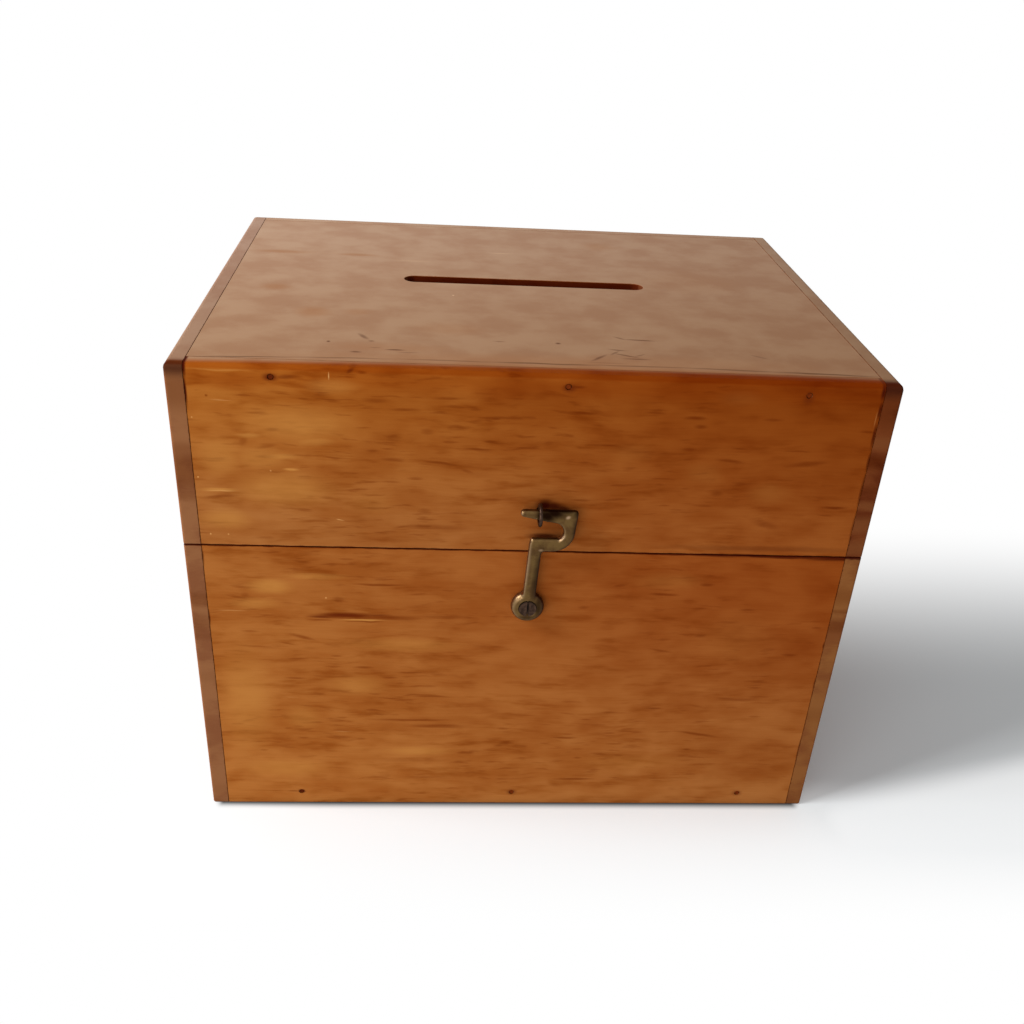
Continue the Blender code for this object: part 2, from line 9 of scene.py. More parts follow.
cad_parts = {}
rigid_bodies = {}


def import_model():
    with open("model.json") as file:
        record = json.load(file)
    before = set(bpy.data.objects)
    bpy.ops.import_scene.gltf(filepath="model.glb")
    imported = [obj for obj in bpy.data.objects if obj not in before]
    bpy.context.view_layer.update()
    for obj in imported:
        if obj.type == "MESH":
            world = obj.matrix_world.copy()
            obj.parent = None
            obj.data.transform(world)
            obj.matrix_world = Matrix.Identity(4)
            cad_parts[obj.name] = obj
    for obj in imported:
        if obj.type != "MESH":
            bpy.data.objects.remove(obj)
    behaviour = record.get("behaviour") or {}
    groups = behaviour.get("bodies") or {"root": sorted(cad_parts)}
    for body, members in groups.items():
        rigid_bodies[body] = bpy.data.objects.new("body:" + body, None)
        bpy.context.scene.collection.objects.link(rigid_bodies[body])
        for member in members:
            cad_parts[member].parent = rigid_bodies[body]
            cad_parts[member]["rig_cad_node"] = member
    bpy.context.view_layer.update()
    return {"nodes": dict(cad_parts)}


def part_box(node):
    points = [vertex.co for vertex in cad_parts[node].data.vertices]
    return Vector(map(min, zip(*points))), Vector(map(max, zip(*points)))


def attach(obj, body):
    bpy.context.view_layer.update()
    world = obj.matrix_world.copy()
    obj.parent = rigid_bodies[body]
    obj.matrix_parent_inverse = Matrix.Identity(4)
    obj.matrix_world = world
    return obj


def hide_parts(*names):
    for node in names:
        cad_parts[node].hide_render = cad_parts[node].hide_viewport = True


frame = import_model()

# The front and back boards of both halves. Each is one planed softwood board with its grain along the
# width, stained honey orange and varnished outside and left raw inside. The side boards cover its ends,
# and nails hold it to the panel between front and back. Its upper faces carry a painted sheen of dull tan.


class Signal:
    """A number, colour or vector on its way through a material's nodes."""

    def __init__(self, tree, socket=None):
        self.tree = tree
        self.socket = socket

    def node(self, kind, settings=None, inputs=None, output=0):
        """Adds a node: its settings first, then the values or links of its sockets."""
        made = self.tree.nodes.new(kind)
        for name, value in (settings or {}).items():
            setattr(made, name, value)
        for name, value in (inputs or {}).items():
            if isinstance(value, Signal):
                self.tree.links.new(value.socket, made.inputs[name])
            else:
                made.inputs[name].default_value = value
        return Signal(self.tree, made.outputs[output])

    def math(self, operation, *values):
        return self.node("ShaderNodeMath", {"operation": operation}, dict(enumerate(values)))

    def vector(self, operation, *values, output=0):
        settings = {"operation": operation}
        return self.node("ShaderNodeVectorMath", settings, dict(enumerate(values)), output)

    def __add__(self, other):
        return self.math("ADD", self, other)

    def __sub__(self, other):
        return self.math("SUBTRACT", self, other)

    def __rsub__(self, other):
        return self.math("SUBTRACT", other, self)

    def __mul__(self, other):
        return self.math("MULTIPLY", self, other)

    def __abs__(self):
        return self.math("ABSOLUTE", self)

    __radd__ = __add__
    __rmul__ = __mul__

    def everywhere(self, value):
        """A number that is the same all over the surface."""
        return self.math("ADD", value, 0)

    def paired(self, other):
        """A vector of this number, another one and 0."""
        return self.node("ShaderNodeCombineXYZ", None, {"X": self, "Y": other})

    def rise(self, low, high):
        """0 below the low value, 1 above the high one, and smooth between them."""
        limits = {"Value": self, "From Min": low, "From Max": high}
        return self.node("ShaderNodeMapRange", {"interpolation_type": "SMOOTHSTEP"}, limits)

    def over(self, under, colour, blend="MIX"):
        """Lays a colour over another, as much as this mask says."""
        sockets = {0: self, 6: under, 7: colour}
        return self.node("ShaderNodeMix", {"data_type": "RGBA", "blend_type": blend}, sockets, 2)

    def axes(self):
        """The three numbers of this vector, by the name of their axis."""
        split = self.node("ShaderNodeSeparateXYZ", None, {0: self}).socket.node
        return {axis: Signal(self.tree, split.outputs[axis]) for axis in "XYZ"}

    def noise(self, size, detail=2.0, roughness=0.5):
        """Cloudy noise over this vector, whose lumps are about size long on each axis."""
        scaled = self.vector("MULTIPLY", self, tuple(1 / length for length in size))
        sockets = {"Vector": scaled, "Scale": 1.0, "Detail": detail, "Roughness": roughness}
        return self.node("ShaderNodeTexNoise", None, sockets)


def srgb(red, green, blue):
    """A colour given as it looks on a screen, 0 to 255, as the shader needs it."""
    shares = (channel / 255 for channel in (red, green, blue))
    return (*(s / 12.92 if s <= 0.04045 else ((s + 0.055) / 1.055) ** 2.4 for s in shares), 1)


def new_material(name):
    """An empty material, its shader and a signal to start its nodes from."""
    material = bpy.data.materials.new(name)
    material.use_nodes = True
    tree = material.node_tree
    return material, tree.nodes["Principled BSDF"], Signal(tree)


def feed(shader, name, value):
    """Links or sets one socket of a material's shader."""
    if isinstance(value, Signal):
        value.tree.links.new(value.socket, shader.inputs[name])
    else:
        shader.inputs[name].default_value = value


def relief(shader, height, strength, depth):
    """Makes a material's surface rise and sink with a height."""
    sockets = {"Strength": strength, "Distance": depth, "Height": height}
    feed(shader, "Normal", height.node("ShaderNodeBump", None, sockets))


MM = 0.001
WOOD_ROUGHNESS = 0.42
WOOD_SPECULAR = 0.05
WOOD_IOR = 1.1
RAW_ROUGHNESS = 0.75
JOINT_DIRT = 0.7 * MM
WANDER_SIZE = (90 * MM, 30 * MM, 30 * MM)
RIPPLE_SIZE = (16 * MM, 6 * MM, 6 * MM)
PATCH_SIZE = (70 * MM, 26 * MM, 50 * MM)
MOTTLE_SIZE = (20 * MM, 9 * MM, 14 * MM)
FIGURE_SIZE = (26 * MM, 4.5 * MM, 12 * MM)
DASH_SIZE = (13 * MM, 2.0 * MM, 6 * MM)
FIBRE_SIZE = (20 * MM, 0.8 * MM, 3 * MM)
BLOTCH_SIZE = (24 * MM, 21 * MM, 21 * MM)
RING_SIZE = (16 * MM, 24 * MM, 1)
DIRT_LUMP = (6 * MM, 6 * MM, 6 * MM)
DIRT_BREAK = (2.5 * MM, 2.5 * MM, 2.5 * MM)
GRAIN_WANDER = 8 * MM
GRAIN_RIPPLE = 1.6 * MM
RING_WANDER = 14 * MM
FIBRE_SHAKE = 0.8 * MM
CALMER_ALONG = (-0.05, 0.16)
CALMER = 0.4
HONEY = srgb(178, 113, 58)
ORANGE = srgb(162, 94, 41)
FIGURE_TINT = srgb(222, 200, 162)
EDGE_SHADE = srgb(228, 208, 176)
PALE = srgb(214, 156, 92)
GLOW = srgb(204, 142, 70)
NAIL_STAIN = srgb(98, 36, 10)
GRIME_AND_SHADOW = srgb(70, 18, 6)
STREAK_AND_SHADE_TINT = srgb(188, 146, 100)
SHADE_TINT = srgb(230, 208, 180)
SHEEN_LIGHT = srgb(185, 151, 125)
SHEEN_DARK = srgb(174, 136, 110)
SHEEN_TO_RIGHT = srgb(239, 234, 229)
SHEEN_TO_FRONT = srgb(226, 216, 201)
REACH = 0.16
SHEEN_BEGINS = 0.4
HOLLOW_MIDDLE = 30 * MM
HOLLOW = 0.13
RAW_MARGIN = (1.2 * MM, 2.5 * MM)
WOOD_RELIEF = 0.2 * MM
RAW_LIGHT = srgb(196, 152, 100)
RAW_DARK = srgb(160, 112, 64)
LEFT_END_GRAIN = (srgb(142, 94, 60), srgb(128, 79, 50))
RIGHT_END_GRAIN = (srgb(142, 90, 48), srgb(127, 74, 40))
DARK_END_GRAIN = (srgb(118, 61, 30), srgb(98, 44, 20))
FACING_UP = (0.80, 0.99)
TILTED_UP = (0.10, 0.50)


def largest(signals):
    """The largest of several signals."""
    most, *others = signals
    for other in others:
        most = most.math("MAXIMUM", most, other)
    return most


def marks(plane, places):
    """A mask of soft spindle-shaped marks: middle, half length, half height, strength and tilt, in mm."""
    spots = []
    for along, across, half_length, half_height, strength, *tilt in places:
        offset = plane.vector("SUBTRACT", plane, (along * MM, across * MM, 0))
        if tilt:
            sockets = {"Vector": offset, "Angle": -tilt[0]}
            offset = offset.node("ShaderNodeVectorRotate", {"rotation_type": "Z_AXIS"}, sockets)
        reach = plane.vector("MULTIPLY", offset, (1 / (half_length * MM), 1 / (half_height * MM), 0))
        spots.append((1 - plane.vector("LENGTH", reach, output="Value").rise(0.15, 1.0)) * strength)
    return largest(spots)


def wood(
    name, along, across, seed, outside, raw, joints, ends, drifts, lasting=(), sheen_tint=None, tilt=FACING_UP
):
    """Stained and varnished softwood whose grain runs along one axis.

    outside has the planes of the faces that are seen and how far in from them the painted sheen of an
    upper face begins, raw the faces left unfinished, joints the planes where dirt has settled with its
    width and strength, ends the two tones of the end grain, drifts the tones that darken the colour and
    the ramps along which they do so, lasting the colours, blends and places of marks, sheen_tint a tone
    for the painted sheen, and tilt how far a face looks up where its painted sheen begins and where it is
    full. Faces that look up are painted a pale tan that stands for the sheen of light on them.
    """
    material, shader, start = new_material(name)
    place = start.node("ShaderNodeTexCoord", output="Object")
    parts = place.axes()
    faces = start.node("ShaderNodeTexCoord", output="Normal").axes()
    through = next(axis for axis in "XYZ" if axis not in (along, across))
    laid = {"X": parts[along] + seed, "Y": parts[across] - seed, "Z": parts[through]}
    grain = place.node("ShaderNodeCombineXYZ", None, laid)
    wander = grain.noise(WANDER_SIZE, 2.0) - 0.5
    ripple = grain.noise(RIPPLE_SIZE, 2.0) - 0.5
    bent = {**laid, "Y": laid["Y"] + wander * GRAIN_WANDER + ripple * GRAIN_RIPPLE}
    fibre = place.node("ShaderNodeCombineXYZ", None, bent)

    patches = fibre.noise(PATCH_SIZE, 2.0, 0.5)
    mottle = fibre.noise(MOTTLE_SIZE, 2.0, 0.5)
    figure = fibre.noise(FIGURE_SIZE, 3.0, 0.6)
    dashes = fibre.noise(DASH_SIZE, 2.0, 0.5)
    fine = fibre.noise(FIBRE_SIZE, 2.0, 0.5)
    calm = 1 - parts[along].rise(*CALMER_ALONG) * CALMER

    colour = (patches * 0.5 + mottle * 0.5).rise(0.34, 0.66).over(HONEY, ORANGE)
    figured = (mottle * 0.25 + figure * 0.75).rise(0.49, 0.72) * calm * 0.85
    colour = figured.over(colour, FIGURE_TINT, "MULTIPLY")
    broken = dashes.rise(0.56, 0.76) * patches.rise(0.38, 0.60) * calm * 0.5
    colour = broken.over(colour, STREAK_AND_SHADE_TINT, "MULTIPLY")
    colour = ((fine - 0.5) * 0.5 + 0.12).over(colour, FIGURE_TINT, "MULTIPLY")
    # Painted shade: faces that look up are darkened where the painted sheen leaves them bare, most of all on
    # the rounded top edges.
    colour = faces["Z"].rise(0.02, 0.50).over(colour, EDGE_SHADE, "MULTIPLY")

    blotches = grain.noise(BLOTCH_SIZE, 4.0, 0.55)
    for tone, *ramps in drifts:
        deeper = start.everywhere(1)
        for axis, begins, full in ramps:
            deeper = deeper * parts[axis].rise(begins, full)
        colour = deeper.over(colour, tone, "MULTIPLY")
    # Painted sheen: faces that look up get a pale tan in place of the stain, darker to the right and to the
    # front, beginning a little way in from the edges of the seen faces.
    fade_and_sheen = (blotches + (fine - 0.5) * 0.06).rise(0.33, 0.67).over(SHEEN_LIGHT, SHEEN_DARK)
    fade_and_sheen = parts["X"].rise(-REACH, REACH).over(fade_and_sheen, SHEEN_TO_RIGHT, "MULTIPLY")
    fade_and_sheen = parts["Y"].rise(REACH, -REACH).over(fade_and_sheen, SHEEN_TO_FRONT, "MULTIPLY")
    if sheen_tint:
        fade_and_sheen = start.everywhere(1).over(fade_and_sheen, sheen_tint, "MULTIPLY")
    worn_and_sheen = faces["Z"].rise(*tilt)
    off_middle = parts["X"] - HOLLOW_MIDDLE
    for axis, at, reach in outside:
        if reach:
            inward = abs(parts[axis] - at)
            if along == "X":
                inward = inward + off_middle * off_middle * HOLLOW
            worn_and_sheen = worn_and_sheen * inward.rise(SHEEN_BEGINS * reach, reach)
    colour = worn_and_sheen.over(colour, fade_and_sheen)

    end_light, end_dark = ends
    across_end = (parts[across] + wander * RING_WANDER).paired(parts[through])
    rings = across_end.noise(RING_SIZE, 2.0, 0.6)
    end_colour = (rings + (fine - 0.5) * 0.2).rise(0.38, 0.66).over(end_light, end_dark)
    colour = abs(faces[along]).rise(0.6, 0.9).over(colour, end_colour)

    shaken = parts[across] + ripple * GRAIN_RIPPLE + (fine - 0.5) * FIBRE_SHAKE
    plane = parts[along].paired(shaken)
    for tone, blend, places in lasting:
        colour = marks(plane, places).over(colour, tone, blend)

    near = largest([1 - abs(parts[axis] - at).rise(*RAW_MARGIN) for axis, at, reach in outside])
    bare = largest([(faces[axis] * sign).rise(0.5, 0.9) for axis, sign in raw]) * (1 - near)
    unstained = (patches * 0.4 + figure * 0.6).rise(0.35, 0.7).over(RAW_LIGHT, RAW_DARK)
    colour = bare.over(colour, unstained)

    lumps = grain.noise(DIRT_LUMP, 2.0, 0.6).rise(0.30, 0.68)
    ragged = lumps * (0.65 * JOINT_DIRT) + 0.35 * JOINT_DIRT
    breaks = grain.noise(DIRT_BREAK, 2.0, 0.6).rise(0.42, 0.60)
    for axis, at, width, strength in joints:
        dirty = (1 - abs(parts[axis] - at).rise(0, ragged * width)) * near
        dirty = dirty * strength if strength > 0.8 else dirty * breaks * strength
        colour = dirty.over(colour, GRIME_AND_SHADOW)

    feed(shader, "Base Color", colour)
    finish = bare * (RAW_ROUGHNESS - WOOD_ROUGHNESS) + WOOD_ROUGHNESS
    feed(shader, "Roughness", finish + (figure - 0.5) * 0.14)
    feed(shader, "Specular IOR Level", WOOD_SPECULAR)
    feed(shader, "IOR", WOOD_IOR)
    relief(shader, fine * 0.2 + dashes * 0.2 + ripple * 0.6, 0.3, WOOD_RELIEF)
    return material


MERGE_DISTANCE = 0.01 * MM
FLAT_ANGLE = math.radians(0.5)
SHARP_ANGLE = math.radians(50)


def finished_copy(node, name, body, material):
    """A copy of a frame piece, joined up and shaded smooth over its rounded edges, that stands for it."""
    original = frame["nodes"][node]
    bpy.ops.object.select_all(action="DESELECT")
    original.select_set(True)
    bpy.context.view_layer.objects.active = original
    bpy.ops.object.duplicate()
    piece = bpy.context.active_object
    piece.name = piece.data.name = name
    del piece["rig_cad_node"]
    bpy.ops.object.mode_set(mode="EDIT")
    bpy.ops.mesh.select_all(action="SELECT")
    bpy.ops.mesh.remove_doubles(threshold=MERGE_DISTANCE)
    bpy.ops.mesh.dissolve_limited(angle_limit=FLAT_ANGLE)
    bpy.ops.object.mode_set(mode="OBJECT")
    bpy.ops.mesh.customdata_custom_splitnormals_clear()
    bpy.ops.object.shade_smooth_by_angle(angle=SHARP_ANGLE)
    even = piece.modifiers.new("even_shading", "WEIGHTED_NORMAL")
    even.keep_sharp = True
    bpy.ops.object.modifier_apply(modifier=even.name)
    piece.data.materials.clear()
    piece.data.materials.append(material)
    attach(piece, body)
    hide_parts(node)
    return piece


front_low, front_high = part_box("base_front")
lid_low, lid_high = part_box("lid_front")
inner_x = -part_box("base_left_side")[1].x
inner_y = -front_high.y
outer_y = -front_low.y
FRONT_SHEEN_SETBACK = 12.2 * MM
TOP_PLANE = {"base": (), "lid": (("Z", lid_high.z, 0),)}
JOINT = (0.8, 0.5)
SEAM = (1.3, 0.95)
FOOT = (0.7, 0.85)
RIM_JOINTS = {
    "base": (("Z", front_high.z, *SEAM), ("Z", 0, *FOOT)),
    "lid": (("Z", lid_low.z, *SEAM),),
}
RAW_RIM = {"base": ("Z", 1), "lid": ("Z", -1)}
GRAIN_SHIFTS = {
    "base_front": 0.0, "base_back": 0.11, "lid_front": 0.37, "lid_back": 0.48,
    "base_left_side": 0.21, "base_right_side": 0.0, "lid_left_side": 0.74, "lid_right_side": 0.53,
}
LID_STAINS_AND_SHADOWS = (
    (-82, 247, 2.4, 1.1, 0.5, 0.5), (-151.4, 247, 1.3, 8, 1.0), (-151.6, 236, 1.0, 11, 1.0),
    (-151.8, 216, 0.5, 9, 0.5), (151, 245, 1.5, 6, 0.95), (151.2, 236, 1.1, 6, 0.9),
    (151.2, 224, 1.1, 9, 0.85), (151.4, 211, 0.8, 7, 0.7), (151.4, 196, 0.8, 12, 0.6),
    (151.4, 176, 0.6, 12, 0.4),
    # Painted shadow of the hook on the board: the black wedge behind its finger, the shade below the finger
    # and the dark band above its cross bar. The long band at the right darkens the board along the seam.
    (5.5, 184.8, 6.5, 4.2, 1.0), (9, 184.6, 8, 3.4, 0.9, -0.15), (14, 183, 8, 2.8, 0.8, -0.45),
    (4, 178.6, 4, 2.6, 0.35), (110, 164, 70, 2.4, 0.3), (6, 168.4, 11, 2.2, 0.85),
)
LID_NAIL_STAINS = (
    (-115.6, 243.3, 4.8, 3.0, 1.0), (-110, 243.5, 6, 1.5, 0.5), (12, 242.6, 4.6, 3.0, 0.8),
    (15, 242.8, 5, 1.2, 0.35), (118, 240.8, 3.6, 4.6, 0.6), (118, 242.3, 3, 2.4, 0.5),
)
LID_STREAKS_AND_SHADE = (
    # The wide mark round the hook at (8, 177) is partly dirt and partly painted shade about the hook.
    (-106, 244, 6, 1.2, 0.5), (16, 243, 5, 1.0, 0.4), (-77, 246.6, 3, 0.8, 0.5), (8, 177, 16, 9, 0.45),
    (-143, 234, 0.9, 0.7, 0.8), (-123, 227, 6, 0.9, 0.4), (-116, 219, 4, 1.3, 0.45),
    (-129, 213, 3, 2.4, 0.4, 0.8), (-119, 211, 6, 1.3, 0.4, 0.2), (-120, 206, 7, 1.1, 0.6),
    (-141, 185.6, 11, 1.2, 0.55, 0.1), (-90, 233, 5, 1.0, 0.4), (-71, 234, 8, 1.6, 0.45),
    (-73, 210, 4, 1.1, 0.45), (-64, 206, 7, 1.4, 0.55), (-94, 186, 4, 1.0, 0.4), (19, 231, 12, 1.3, 0.6),
    (51, 232, 6, 0.8, 0.45), (69, 230, 7, 1.3, 0.7), (72, 226, 4, 1.6, 0.55), (68, 215, 5, 1.2, 0.45),
    (88, 209.6, 9, 1.3, 0.55, -0.1), (91, 216, 5, 0.8, 0.45), (124, 209, 13, 2.0, 0.55, 0.15),
    (118, 215, 9, 0.8, 0.5), (141, 187, 8, 1.1, 0.7), (137, 183, 5, 0.9, 0.4), (84, 193, 4, 2.4, 0.35),
    (110, 177, 10, 2.6, 0.35, -0.3), (104, 230, 6, 1.2, 0.45), (148, 226, 5, 0.9, 0.45),
    (-40, 236, 10, 1.1, 0.45), (-59, 230, 9, 0.9, 0.5), (-44, 229, 6, 0.7, 0.45),
    (-37, 232, 6, 1.0, 0.35, -0.1), (-19, 227, 3, 0.9, 0.4), (-49, 220, 4, 2.0, 0.4),
    (-64, 217, 5, 2.6, 0.35), (-26, 212, 9, 0.8, 0.65), (-43, 205, 11, 0.9, 0.55, -0.1),
    (-31, 201, 4, 1.3, 0.4, -0.3), (-54, 197, 5, 1.2, 0.45), (-65, 195, 6, 0.9, 0.4),
    (-49, 176, 7, 1.0, 0.45), (-45, 172, 22, 2.0, 0.4), (-19, 187, 7, 0.9, 0.35),
)
LID_SHADES = (
    (-135, 241, 20, 7, 0.75), (-93, 200, 9, 4, 0.35), (-71, 211, 15, 9, 0.4), (-73, 164, 18, 5, 0.45),
    (126, 245, 34, 5, 0.55), (9, 240, 60, 7, 0.4), (59, 170, 30, 8, 0.25), (109, 205, 40, 12, 0.1),
    (-16, 239, 20, 9, 0.8), (26, 240, 10, 6, 0.6), (58, 226, 14, 9, 0.4),
)
LID_LIGHTS = (
    (150.2, 232, 0.35, 5, 0.25),
    (-91, 244.5, 0.4, 2.2, 0.8), (-137, 232, 6, 0.4, 0.4), (-88, 175, 2.4, 0.4, 0.8, -0.2),
    (-147, 166, 0.6, 0.6, 1.0), (-139, 166, 0.6, 0.6, 0.7), (-150, 195, 0.6, 0.6, 1.0),
    (-150, 224, 0.5, 0.5, 0.9), (-141, 188.4, 9, 0.5, 0.5), (-118, 199, 0.6, 0.6, 0.6),
)
LID_GLOWS = (
    (-136, 246, 17, 0.6, 0.3), (-109, 200, 5, 1.0, 0.6), (-141, 189, 12, 1.6, 0.5),
    (-105, 222, 30, 12, 0.35), (-112, 190, 30, 12, 0.35), (-140, 205, 14, 12, 0.3),
    (-140, 174, 16, 7, 0.35), (-115, 206, 14, 2.2, 0.4),
    (-126, 216, 8, 1.8, 0.35), (-98, 214, 12, 3, 0.3), (-90, 240, 15, 5, 0.25), (-122, 205, 16, 8, 0.3),
    (-74, 184, 15, 8, 0.12), (42, 212, 14, 7, 0.07), (76, 203, 12, 8, 0.08), (108, 193, 14, 8, 0.1),
    (88, 240, 14, 5, 0.06),
)
BASE_STAINS = (
    (-151.6, 154, 0.7, 7, 0.6), (-151.6, 120, 0.7, 6, 0.7), (60, 160.2, 80, 1.0, 0.8, -0.006),
    (112, 159.8, 70, 1.5, 0.9, -0.008), (150, 159.4, 30, 2.0, 0.9, -0.008), (151.5, 108, 0.6, 3, 0.6),
    (151.5, 84, 0.5, 6, 0.5), (151.5, 40, 0.5, 12, 0.5),
)
BASE_NAIL_STAINS = (
    (-113, 8.6, 3, 2, 1.0), (-117, 8.6, 5, 0.8, 0.5), (-1, 8.6, 4, 2.8, 0.65), (123, 8.6, 4, 2.8, 0.55),
    (-87, 122.1, 18, 1.9, 0.85), (-99, 121.2, 9, 1.1, 0.75), (-72, 122.3, 9, 0.9, 0.5),
    (-80, 118.6, 12, 0.6, 0.4),
)
BASE_STREAKS = (
    (-132, 9, 19, 0.4, 0.4), (-86, 122, 22, 2.8, 1.0),
    (-74, 121, 34, 2.2, 0.8), (-99, 119.3, 8, 0.8, 0.65), (-74, 118.5, 8, 0.8, 0.6), (-40, 122, 20, 1.6, 0.4),
    (-61, 121, 13, 2.6, 0.3), (-71, 140, 16, 1.0, 0.75), (-90, 131, 4, 2.2, 0.45),
    (-133, 112, 6, 0.9, 0.5), (-108, 109, 9, 1.4, 0.65, -0.28), (-131, 103, 14, 0.9, 0.4, -0.08),
    (-116, 105, 5, 0.8, 0.4, -0.26), (-111, 96, 7, 1.0, 0.4), (-92, 98, 4, 0.9, 0.45),
    (-79, 91, 7, 1.0, 0.65), (-66, 85, 6, 0.8, 0.5), (-113, 84, 7, 0.9, 0.55), (-134, 133, 3, 2.2, 0.35),
    (-106, 152, 6, 1.2, 0.35, -0.2), (-45, 73, 13, 0.9, 0.55), (-93, 57, 8, 0.8, 0.45),
    (-56, 58, 28, 1.1, 0.65), (-42, 54, 20, 2.0, 0.65), (-92, 46, 10, 1.9, 0.4), (-131, 37, 3, 0.7, 0.45),
    (-56, 31, 27, 2.5, 0.25), (-48, 19, 19, 1.0, 0.3), (25, 47, 10, 1.0, 0.65), (33, 18, 14, 0.9, 0.7),
    (95, 50, 15, 1.4, 0.65, -0.17), (91, 39, 3, 1.0, 0.55), (113, 73, 15, 1.3, 0.45),
    (124, 62, 5, 1.0, 0.4), (35, 59, 4, 0.9, 0.45), (48, 50, 5, 1.0, 0.5), (71, 67, 5, 1.0, 0.5),
    (47, 64, 6, 1.0, 0.4), (33, 33, 3, 0.9, 0.45), (67, 137, 10, 1.3, 0.65), (87, 143, 5, 1.3, 0.55),
    (45, 142, 5, 1.0, 0.35, 0.2), (109, 129, 5, 0.9, 0.5), (85, 129, 6, 0.9, 0.4), (28, 129, 4, 1.4, 0.4),
    (69, 104, 8, 1.0, 0.45, -0.2), (88, 113, 4, 1.4, 0.45), (135, 102, 6, 1.4, 0.5),
    (146, 119, 4, 1.0, 0.45), (152, 108, 0.7, 0.7, 1.0), (121, 81, 5, 0.8, 0.45), (107, 74, 8, 0.8, 0.45),
)
BASE_SHADES = (
    (-121, 43, 10, 9, 0.35), (139, 105, 15, 9, 0.55), (-53, 55, 32, 9, 0.5), (-60, 129, 22, 8, 0.25),
    (19, 54, 26, 9, 0.25), (-11, 17, 40, 9, 0.2), (-70, 93, 14, 8, 0.15), (128, 33, 46, 26, 0.7),
    (142, 145, 13, 12, 0.5), (-26, 64, 20, 14, 0.4), (37, 56, 13, 10, 0.45),
)
BASE_LIGHTS = (
    (-96, 132, 0.6, 0.6, 0.9), (-141, 124, 9, 0.4, 0.35), (-115, 72, 6, 0.4, 0.25), (-90, 50, 7, 0.4, 0.25),
)
BASE_GLOWS = (
    (-79, 119.5, 15, 0.7, 0.8), (-122, 138, 15, 6, 0.5), (-138, 71, 18, 44, 0.3), (-51, 37, 24, 4, 0.3),
    (-130, 128, 16, 5, 0.3), (-60, 105, 40, 6, 0.25), (-120, 25, 30, 8, 0.3), (-100, 144, 20, 3, 0.3),
    (60, 30, 40, 8, 0.1), (-82, 80, 20, 9, 0.25), (-110, 59, 12, 11, 0.25), (68, 145, 24, 7, 0.12),
    (106, 112, 26, 22, 0.07),
)
tones = {
    "base_front": (
        (SHADE_TINT, "MULTIPLY", BASE_SHADES),
        (STREAK_AND_SHADE_TINT, "MULTIPLY", BASE_STREAKS),
        (GLOW, "MIX", BASE_GLOWS),
        (PALE, "MIX", BASE_LIGHTS),
        (NAIL_STAIN, "MIX", BASE_NAIL_STAINS),
        (GRIME_AND_SHADOW, "MIX", BASE_STAINS),
    ),
    "lid_front": (
        (SHADE_TINT, "MULTIPLY", LID_SHADES),
        (STREAK_AND_SHADE_TINT, "MULTIPLY", LID_STREAKS_AND_SHADE),
        (GLOW, "MIX", LID_GLOWS),
        (PALE, "MIX", LID_LIGHTS),
        (NAIL_STAIN, "MIX", LID_NAIL_STAINS),
        (GRIME_AND_SHADOW, "MIX", LID_STAINS_AND_SHADOWS),
    ),
}
to_right = ("X", -REACH, REACH)
to_left = ("X", REACH, -REACH)
base_up = ("Z", 0, front_high.z)
lid_up = ("Z", lid_low.z, lid_high.z)
lid_down = ("Z", lid_high.z, lid_low.z)
lid_edge = ("Z", lid_high.z - 14 * MM, lid_high.z - 4 * MM)
# The drifts darken the boards towards the right, along their height and near the lid's top edge. The
# darkening to the right is partly painted shade, for the light falling off away from the lamps on the left.
front_drifts = {
    "base": (
        (srgb(255, 252, 236), to_left),
        (srgb(245, 240, 239), base_up),
        (srgb(228, 190, 150), to_right, base_up),
    ),
    "lid": (
        (srgb(255, 250, 255),),
        (srgb(252, 238, 216), lid_edge),
        (srgb(235, 206, 176), to_right),
        (srgb(253, 250, 201), lid_up),
        (srgb(247, 255, 255), lid_down),
        (srgb(217, 197, 181), to_right, lid_up),
    ),
}
for half in ("base", "lid"):
    for face, side in (("front", -1), ("back", 1)):
        node = f"{half}_{face}"
        sheen_from, tilt = (0, TILTED_UP) if node == "lid_back" else (FRONT_SHEEN_SETBACK, FACING_UP)
        outside = (("Y", side * outer_y, sheen_from), *TOP_PLANE[half])
        raw = (("Y", -side), RAW_RIM[half])
        edges = (("X", -inner_x, *JOINT), ("X", inner_x, *JOINT), *RIM_JOINTS[half])
        stained = wood(
            f"{node}_wood", "X", "Z", GRAIN_SHIFTS[node], outside, raw, edges, LEFT_END_GRAIN,
            front_drifts[half], tones.get(node, ()), tilt=tilt
        )
        finished_copy(node, f"{node}_board", half, stained)

# The side boards of both halves, of the same wood with the grain from front to back. They run past the
# front and back boards, so their end grain shows as a darker strip at each corner, and are nailed to them.

REDDER = srgb(230, 212, 200)
DARK_BROWN = srgb(56, 20, 12)
SIDE_SHEEN_TINT = {"left": srgb(239, 239, 248), "right": srgb(244, 248, 250)}
END_STREAKS = {
    "base_left_side": (
        (-124, 130, 16, 7, 0.5), (-124, 116, 16, 9, 0.35), (-124, 109, 16, 4, 0.25), (-124, 84, 16, 5, 0.15),
        (-124, 10, 16, 6, 0.15),
    ),
    "base_right_side": (
        (-124, 120, 16, 6, 0.45), (-124, 138, 16, 8, 0.35), (-124, 129, 16, 2, 0.35), (-124, 63, 16, 7, 0.2),
    ),
    "lid_left_side": (
        (-124, 208, 16, 6, 0.4), (-124, 198, 16, 18, 0.6), (-124, 186, 16, 5, 0.4), (-124, 236, 16, 14, 0.45),
    ),
    "lid_right_side": (
        (-124, 211, 16, 6, 0.7), (-124, 180, 16, 4, 0.4), (-124, 236, 18, 14, 0.45), (-124, 197, 16, 4, 0.3),
    ),
}
